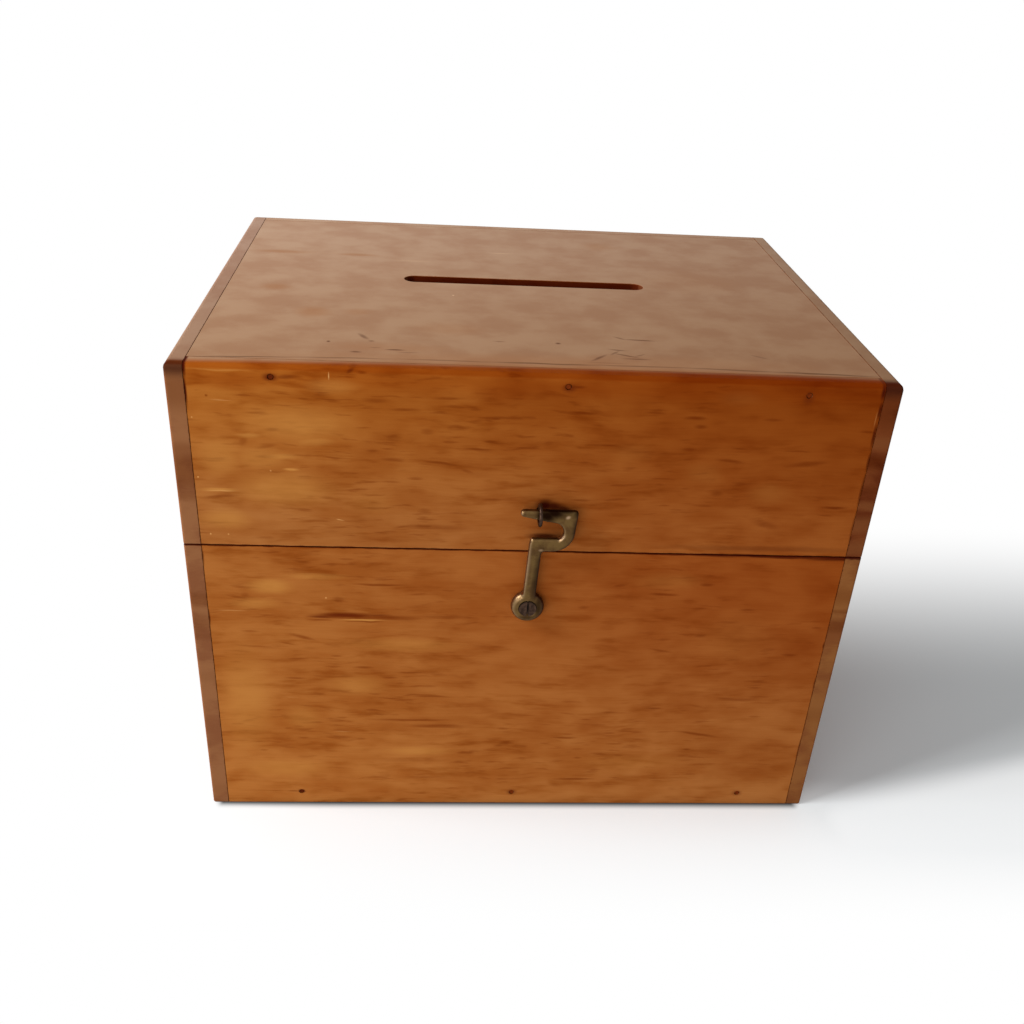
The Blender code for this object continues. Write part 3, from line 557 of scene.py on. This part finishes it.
END_STAINS = {
    "lid_left_side": ((-124, 247, 7, 7, 0.8),),
    "lid_right_side": ((-124, 248, 9, 9, 0.85), (-112, 250, 14, 1.6, 0.5)),
    "base_right_side": ((-124, 160, 12, 1.8, 0.95),),
    "base_left_side": ((-124, 160.6, 12, 1.2, 0.8),),
}
END_LIGHTS = (
    (-124, 220, 16, 5, 0.6), (-124, 188, 16, 4, 0.7), (-124, 178, 16, 7, 0.7), (-124, 165, 16, 7, 0.7),
)
SIDE_DRIFTS = ((REDDER, ("Y", REACH, -REACH)), (srgb(238, 222, 212), ("X", 0, REACH)))
SIDE_SHEEN_SETBACK = 3 * MM
CORNER_SHEEN_SETBACK = 5 * MM
for half in ("base", "lid"):
    for face, side, ends in (("left", -1, LEFT_END_GRAIN), ("right", 1, RIGHT_END_GRAIN)):
        node = f"{half}_{face}_side"
        lasting = [(STREAK_AND_SHADE_TINT, "MULTIPLY", END_STREAKS[node])]
        if node == "lid_right_side":
            ends = DARK_END_GRAIN
            lasting.append((RIGHT_END_GRAIN[1], "MIX", END_LIGHTS))
        lasting.append((DARK_BROWN, "MIX", END_STAINS[node]))
        sheen_from, tilt = (0, TILTED_UP) if half == "lid" else (SIDE_SHEEN_SETBACK, FACING_UP)
        outside = (
            ("X", side * REACH, sheen_from), ("Y", -outer_y, CORNER_SHEEN_SETBACK), ("Y", outer_y, sheen_from),
            *TOP_PLANE[half],
        )
        raw = (("X", -side), RAW_RIM[half])
        edges = (("X", side * inner_x, *JOINT), *RIM_JOINTS[half])
        stained = wood(
            f"{node}_wood", "Y", "Z", GRAIN_SHIFTS[node], outside, raw, edges, ends,
            SIDE_DRIFTS, lasting, SIDE_SHEEN_TINT[face], tilt
        )
        finished_copy(node, f"{node}_board", half, stained)

# The lid's top is a board let in flush between the four walls, with the round-ended ballot slot cut
# through it. Its upper face carries a painted sheen of dull tan, with a few pen marks and scratches near
# the front edge.

TOP_SHADE = srgb(156, 106, 70)
TOP_CHIP = srgb(220, 182, 146)
JOINT_BROWN = srgb(74, 40, 24)
SCRATCH_BROWN = srgb(84, 48, 34)
SLOT_SHADE = srgb(140, 86, 78)
SLOT_SHADE_BEGINS = 0.1 * MM
SLOT_SHADE_FULL = -0.6 * MM
SLOT_END_GRAIN = (srgb(120, 62, 34), srgb(84, 40, 22))
TOP_SCRATCHES = (
    (-94, -92, 1.2, 1.6, 0.8), (-79, -84, 6, 1.8, 0.55, -1.0), (-75, -90, 2, 1.2, 0.6),
    (-81, -104, 3.5, 1.4, 0.7), (-64, -100, 6, 1.2, 0.8), (-73, -98, 4, 0.9, 0.4), (-58, -103, 7, 0.9, 0.4),
    (10, -85, 1.8, 1.5, 0.8), (27, -102, 8, 1.3, 0.6, 0.85), (40, -98, 9, 1.2, 0.6, -0.4),
    (44, -102, 9, 1.1, 0.6), (35, -95, 5, 1.0, 0.5, 0.9), (37, -91, 6, 1.1, 0.6, -0.2),
    (49, -77, 10, 1.2, 0.75, -0.1), (40, -75, 5, 1.1, 0.5, -0.6), (46, -97, 5, 0.9, 0.4, 0.6),
    (-17, -85, 4, 1.2, 0.35), (102, -94, 6, 1.0, 0.35, -0.5), (30, -108, 12, 0.8, 0.4),
)
TOP_JOINT = (
    (-128, -114.2, 32, 1.1, 0.6, 0.067), (-86, -112, 34, 1.1, 0.45, 0.03), (-40, -111.2, 36, 1.1, 0.4),
    (2, -111.2, 36, 1.2, 0.65), (44, -110.8, 36, 1.1, 0.5, 0.01), (86, -111.6, 36, 1.2, 0.5, -0.034),
    (126, -113.2, 34, 1.3, 0.7, -0.04),
)
TOP_SHADES = (
    (-132, 49, 22, 5, 0.55), (-91, 48, 16, 4, 0.5), (-128, -15, 11, 8, 0.5), (-105, -52, 12, 11, 0.5),
    (-84, -50, 9, 7, 0.3), (-40, -70, 22, 12, 0.25), (48, 84, 14, 12, 0.35), (90, 20, 40, 30, 0.15),
    (0, -112, 160, 16, 0.45), (-66, -98, 40, 9, 0.3), (60, -106, 90, 12, 0.25),
)
TOP_LIGHTS = (
    (-38, -19, 0.9, 0.9, 0.9), (-10, 62, 9, 1.0, 0.3), (-60, 40, 14, 3, 0.15),
)
edges = [(axis, at, *JOINT) for axis, at in (("X", -inner_x), ("X", inner_x), ("Y", inner_y))]
lasting = (
    (TOP_SHADE, "MIX", TOP_SHADES),
    (JOINT_BROWN, "MIX", TOP_JOINT),
    (SCRATCH_BROWN, "MIX", TOP_SCRATCHES),
    (TOP_CHIP, "MIX", TOP_LIGHTS),
)
drifts = ((SLOT_SHADE, ("Z", lid_high.z + SLOT_SHADE_BEGINS, lid_high.z + SLOT_SHADE_FULL)),)
outside = (("Z", lid_high.z, 0), ("Y", -outer_y, FRONT_SHEEN_SETBACK))
raw = (("Z", -1),)
stained = wood("lid_top_wood", "X", "Y", 0.83, outside, raw, edges, SLOT_END_GRAIN, drifts, lasting)
finished_copy("lid_top", "lid_top_board", "lid", stained)

# The base's bottom is a plain board, thicker than the others, nailed in between the four walls. It is
# raw inside and stained below, where the box stands on it.

bottom_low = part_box("base_bottom")[0]
drifts = ((REDDER, to_right),)
outside = (("Z", bottom_low.z, 0),)
stained = wood("base_bottom_wood", "X", "Y", 0.93, outside, (("Z", 1),), (), LEFT_END_GRAIN, drifts)
finished_copy("base_bottom", "base_bottom_board", "base", stained)

# The nails are thin steel nails with small heads, driven through one board into the edge of the next
# and set just below the surface. They have gone rusty brown under the varnish.

RUST_LIGHT = srgb(122, 50, 13)
RUST_DARK = srgb(108, 41, 9)
RUST_DEEP = srgb(80, 26, 6)
RUST_LUMP = 0.7 * MM
RUST_RELIEF = 0.1 * MM
DEEP_RUSTED = ((-115, 243, 6, 6, 0.7), (-113, 8, 6, 6, 0.8))
material, shader, start = new_material("varnished_nail")
place = start.node("ShaderNodeTexCoord", output="Object")
rust = place.noise((RUST_LUMP, RUST_LUMP, RUST_LUMP), 3.0, 0.6)
parts = place.axes()
colour = rust.rise(0.35, 0.65).over(RUST_LIGHT, RUST_DARK)
colour = marks(parts["X"].paired(parts["Z"]), DEEP_RUSTED).over(colour, RUST_DEEP)
feed(shader, "Base Color", colour)
feed(shader, "Roughness", rust * 0.3 + 0.5)
feed(shader, "Specular IOR Level", 0.02)
relief(shader, rust, 0.5, RUST_RELIEF)
for node, nail in frame["nodes"].items():
    if node.startswith("nail"):
        nail.data.materials.clear()
        nail.data.materials.append(material)

# The swing hook is one brass casting, browned with age and rubbed brighter where fingers and the eye
# touch it. It turns on a screw through its round boss, which stands on the base's front board. Its
# cross bar is cast a little thicker than the stem, and all its edges are well rounded.

HOOK_VOXEL = 0.25 * MM
HOOK_EDGE = 1.4 * MM
HOOK_SMOOTHINGS = 24
BRASS_RELIEF = 0.15 * MM
BRASS_LIGHT = srgb(104, 80, 46)
BRASS_DARK = srgb(86, 62, 36)
BRASS_LIT_LEFT = srgb(132, 106, 74)
BRASS_SHADED_RIGHT = srgb(60, 36, 24)
BRASS_SPECKS = srgb(48, 30, 18)
BRASS_RUBBED = srgb(170, 142, 98)
BRASS_BROWNED_AND_SHADED = srgb(26, 12, 5)
BRASS_HIGHLIGHT = srgb(168, 138, 108)
JOG_PLACE = (5.8 * MM, -129.3 * MM, 168.7 * MM)
JOG_SIZE = (13.6 * MM, 3.5 * MM, 3.8 * MM)
HOOK_PATINA_AND_SHADE = (
    (6, 183, 7, 6, 1.0), (9, 184.6, 9, 5, 1.0), (13, 186, 12, 3.4, 1.0), (20.6, 184.6, 4.6, 4.4, 0.9),
    (3.6, 150, 3.2, 24, 0.7, -0.07),
    (20.4, 176, 3.4, 12, 0.8, -0.1), (16, 166, 7, 2.6, 0.6, 0.6), (5, 132, 3, 8, 0.8),
    (8, 163.5, 8, 1.4, 0.5), (1, 126, 7, 2.4, 0.5), (-1, 187, 8, 1.6, 0.5),
)
HOOK_HIGHLIGHTS = (
    (-2.2, 152, 2.2, 22, 0.45, -0.07), (13.4, 171.4, 3, 1.5, 0.9, 0.8), (15.6, 182.4, 1.6, 1.2, 0.9, 0.5),
    (-5.4, 137, 3, 2, 0.35, 0.8), (-0.9, 170.6, 1.4, 1.6, 0.6), (4.2, 164.8, 1.6, 1.0, 0.5),
    (-6, 183.8, 1.0, 1.0, 0.9),
)
brass, shader, start = new_material("aged_brass")
place = start.node("ShaderNodeTexCoord", output="Object")
parts = place.axes()
faces = start.node("ShaderNodeTexCoord", output="Normal").axes()
clouds = place.noise((5 * MM, 5 * MM, 5 * MM), 3.0, 0.6)
specks = place.noise((0.8 * MM, 0.8 * MM, 0.8 * MM), 3.0, 0.6)
raised = start.node("ShaderNodeNewGeometry", output="Pointiness").rise(0.50, 0.56)
colour = clouds.rise(0.35, 0.65).over(BRASS_LIGHT, BRASS_DARK)
# Painted light and shade: faces turned to the left are painted lighter and faces turned to the right darker,
# as the lamp on the left lights them.
colour = (faces["X"] * -1).rise(0.05, 0.75).over(colour, BRASS_LIT_LEFT)
colour = faces["X"].rise(0.05, 0.75).over(colour, BRASS_SHADED_RIGHT)
colour = (specks.rise(0.55, 0.75) * 0.4).over(colour, BRASS_SPECKS)
colour = (raised * 0.4).over(colour, BRASS_RUBBED)
flat = parts["X"].paired(parts["Z"])
# Patina and painted shade: dark marks on the top of the finger and its heel and on the right-hand sides of
# the stem, the bend and the boss.
colour = marks(flat, HOOK_PATINA_AND_SHADE).over(colour, BRASS_BROWNED_AND_SHADED)
# Painted highlights: bright spots on the stem's left edge, the inside of the bend, the heel, the boss and the
# elbow.
colour = marks(flat, HOOK_HIGHLIGHTS).over(colour, BRASS_HIGHLIGHT)
feed(shader, "Base Color", colour)
feed(shader, "Roughness", clouds * 0.2 + specks * 0.15 + 0.2)
feed(shader, "Metallic", 1.0)
relief(shader, clouds + specks * 0.4, 0.35, BRASS_RELIEF)
hook = finished_copy("hook", "hook_casting", "hook", brass)
bpy.ops.mesh.primitive_cube_add(size=1, location=JOG_PLACE)
bpy.context.active_object.scale = JOG_SIZE
hook.select_set(True)
bpy.context.view_layer.objects.active = hook
bpy.ops.object.join()
cast = hook.modifiers.new("cast", "BEVEL")
cast.width = HOOK_EDGE
cast.segments = 4
cast.limit_method = "ANGLE"
cast.angle_limit = SHARP_ANGLE
cast.use_clamp_overlap = False
bpy.ops.object.modifier_apply(modifier=cast.name)
joined = hook.modifiers.new("joined", "REMESH")
joined.mode = "VOXEL"
joined.voxel_size = HOOK_VOXEL
bpy.ops.object.modifier_apply(modifier=joined.name)
worn_and_sheen = hook.modifiers.new("worn_and_sheen", "SMOOTH")
worn_and_sheen.factor = 0.5
worn_and_sheen.iterations = HOOK_SMOOTHINGS
bpy.ops.object.modifier_apply(modifier=worn_and_sheen.name)
bpy.ops.object.shade_smooth()

# The slotted steel screw that the hook turns on, and the screw eye of bent steel wire on the lid. Both
# have gone dark brown.

STEEL_RELIEF = 0.1 * MM
STEEL_LIGHT = srgb(74, 54, 42)
STEEL_DARK = srgb(46, 31, 23)
STEEL_SHADE = srgb(16, 8, 5)
SLOT_AND_EYE_SHADE = ((0.2, 131.1, 0.7, 5, 1.0), (5, 182, 2, 6, 0.5))
steel, shader, start = new_material("dark_steel")
place = start.node("ShaderNodeTexCoord", output="Object")
clouds = place.noise((1.6 * MM, 1.6 * MM, 1.6 * MM), 3.0, 0.6)
brushed = place.noise((0.2 * MM, 2 * MM, 2 * MM), 2.0, 0.5)
colour = clouds.rise(0.35, 0.65).over(STEEL_LIGHT, STEEL_DARK)
parts = place.axes()
flat = parts["X"].paired(parts["Z"])
# Painted shade: a dark line down the screw's slot and a darker right side on the screw eye.
colour = marks(flat, SLOT_AND_EYE_SHADE).over(colour, STEEL_SHADE)
feed(shader, "Base Color", colour)
feed(shader, "Roughness", clouds * 0.25 + 0.25)
feed(shader, "Metallic", 0.9)
relief(shader, clouds + brushed * 0.3, 0.3, STEEL_RELIEF)
finished_copy("hook_screw", "hook_screw_slotted", "base", steel)
finished_copy("screw_eye", "screw_eye_wire", "lid", steel)

# The two brass butt hinges on the back. Each has a leaf on either half, the knuckles that the leaves
# are rolled into, a pin through these and two countersunk brass screws in each leaf.

for side in ("left", "right"):
    for half in ("base", "lid"):
        for part in ("leaf", "screw_1", "screw_2"):
            node = f"hinge_{side}_{half}_{part}"
            finished_copy(node, f"{node}_brass", half, brass)
    finished_copy(f"hinge_{side}_pin", f"hinge_{side}_pin_turned", "base", brass)

# The studio: a white floor and background, one wide soft light high on the left that throws the shadow
# to the right, and a weak one in front. The floor fades to white in front of the box and behind it, at
# the sides and beside the front edge of the shadow, which is painted light, and it is painted darker in a
# narrow contact shadow around the box's foot.

FLOOR_SIZE = 8.0
FLOOR_BOUNCE = srgb(232, 232, 232)
FLOOR_SEEN = srgb(248, 253, 255)
FILL = 0.36
CONTACT_REACH = 5 * MM
CONTACT_START = -1 * MM
CONTACT_DARK = 0.35
CONTACT_DARK_IN_FRONT = 0.6
FRONT_FADE = 20 * MM
WHITE_BEHIND = (-0.02, 0.205)
WHITE_NEAR_FRONT = (-0.125, -0.10)
WHITE_FAR_FRONT = (-0.21, -0.12)
NEAR_FRONT_SHARE = 0.2
SHADOW_CORNER = 0.184
SHADOW_SLOPE = 0.28
SHADOW_EDGE = (-0.134, -0.110)
SHADOW_SIDE = (0.155, 0.182)
PAST_SHADOW = 0.5
WHITE_LEFT = (-0.22, -0.05)
WHITE_RIGHT = (0.45, 0.7)

bpy.ops.mesh.primitive_plane_add(size=FLOOR_SIZE, location=(0, 0, 0))
floor = bpy.context.active_object
floor.name = "floor"
material, shader, start = new_material("white_floor")


def seen_directly(start):
    """1 for rays from the camera and for those that metal and glass send on, else 0."""
    rays = start.node("ShaderNodeLightPath").socket.node.outputs
    kinds = [Signal(start.tree, rays[f"Is {kind} Ray"]) for kind in ("Camera", "Glossy", "Transmission")]
    return start.math("MAXIMUM", start.math("MAXIMUM", *kinds[:2]), kinds[2])


place = start.node("ShaderNodeTexCoord", output="Object")
parts = place.axes()
# Painted shadow: the floor is darkened in a narrow contact shadow around the box's foot, most of all in
# front.
beyond = place.vector("SUBTRACT", place.vector("ABSOLUTE", place), (REACH - CONTACT_REACH, outer_y, 0))
gap = place.vector("LENGTH", place.vector("MAXIMUM", beyond, (0, 0, 0)), output="Value")
contact_shadow = 1 - gap.rise(CONTACT_START, CONTACT_REACH)
front_part = 1 - parts["Y"].rise(-outer_y, -outer_y + FRONT_FADE)
open_floor = 1 - contact_shadow * (front_part * CONTACT_DARK_IN_FRONT + CONTACT_DARK)
seen = seen_directly(start)
tone = seen.over(FLOOR_BOUNCE, FLOOR_SEEN)
feed(shader, "Base Color", open_floor.over((0, 0, 0, 1), tone))
feed(shader, "Roughness", 1.0)
feed(shader, "Specular IOR Level", 0.0)
# Painted light: the floor is blended into plain white behind the box, in front of it, at the sides and beside
# the front edge of its cast shadow, which trims that shadow.
behind = parts["Y"].rise(*WHITE_BEHIND)
near_front = (1 - parts["Y"].rise(*WHITE_NEAR_FRONT)) * NEAR_FRONT_SHARE
before = near_front + (1 - parts["Y"].rise(*WHITE_FAR_FRONT)) * (1 - NEAR_FRONT_SHARE)
slanted = parts["Y"] - (parts["X"] - SHADOW_CORNER) * SHADOW_SLOPE
beside = (1 - slanted.rise(*SHADOW_EDGE)) * parts["X"].rise(*SHADOW_SIDE) * PAST_SHADOW
left = 1 - parts["X"].rise(*WHITE_LEFT)
right = parts["X"].rise(*WHITE_RIGHT)
fade_and_sheen = largest([behind, before, beside, left, right])
white = start.node("ShaderNodeEmission", None, {"Color": (1, 1, 1, 1), "Strength": 1.0})
blend = start.node("ShaderNodeMixShader", None, {0: fade_and_sheen * seen * open_floor, 2: white})
start.tree.links.new(shader.outputs[0], blend.socket.node.inputs[1])
start.tree.links.new(blend.socket, start.tree.nodes["Material Output"].inputs["Surface"])
floor.data.materials.append(material)

world = bpy.data.worlds.new("studio")
bpy.context.scene.world = world
world.use_nodes = True
background = world.node_tree.nodes["Background"]
background.inputs["Color"].default_value = (1, 1, 1, 1)
strength = seen_directly(Signal(world.node_tree)) * (1 - FILL) + FILL
world.node_tree.links.new(strength.socket, background.inputs["Strength"])


def soft_light(name, place, aim, size, power):
    """A wide light at a place, turned to what it is aimed at. Lengths in metres, power in watts."""
    lamp = bpy.data.lights.new(name, "AREA")
    lamp.shape = "RECTANGLE"
    lamp.size, lamp.size_y = size
    lamp.energy = power
    holder = bpy.data.objects.new(name, lamp)
    bpy.context.scene.collection.objects.link(holder)
    holder.location = place
    holder.rotation_euler = (Vector(aim) - Vector(place)).to_track_quat("-Z", "Y").to_euler()


soft_light("left_light", place=(-1.12, -0.34, 1.19), aim=(0, 0, 0.1), size=(0.7, 0.5), power=22.5)
soft_light("front_light", place=(-0.75, -1.35, 0.35), aim=(0, 0, 0.12), size=(0.9, 0.6), power=6)

# The camera looks down on the box from in front and a little to the left.

IMAGE_SIZE = 1024
SENSOR = 36.0
FOCAL_PIXELS = 1083.05
MIDDLE_PIXELS = (513.58, 550.09)
CAMERA_PLACE = Vector((-0.04404, -0.55973, 0.41908))
CAMERA_RIGHT = Vector((0.99726413, -0.05116235, 0.05335417))
CAMERA_UP = Vector((-0.01973013, 0.51136204, 0.85913886))
CAMERA_BACK = Vector((-0.07123886, -0.85784106, 0.50895358))

camera = bpy.data.cameras.new("camera")
viewer = bpy.data.objects.new("camera", camera)
bpy.context.scene.collection.objects.link(viewer)
camera.sensor_width = SENSOR
camera.lens = FOCAL_PIXELS / IMAGE_SIZE * SENSOR
camera.shift_x = 0.5 - MIDDLE_PIXELS[0] / IMAGE_SIZE
camera.shift_y = MIDDLE_PIXELS[1] / IMAGE_SIZE - 0.5
turn = Matrix((CAMERA_RIGHT, CAMERA_UP, CAMERA_BACK)).transposed()
viewer.matrix_world = Matrix.Translation(CAMERA_PLACE) @ turn.to_4x4()
bpy.context.scene.camera = viewer
bpy.context.scene.view_settings.view_transform = "Standard"
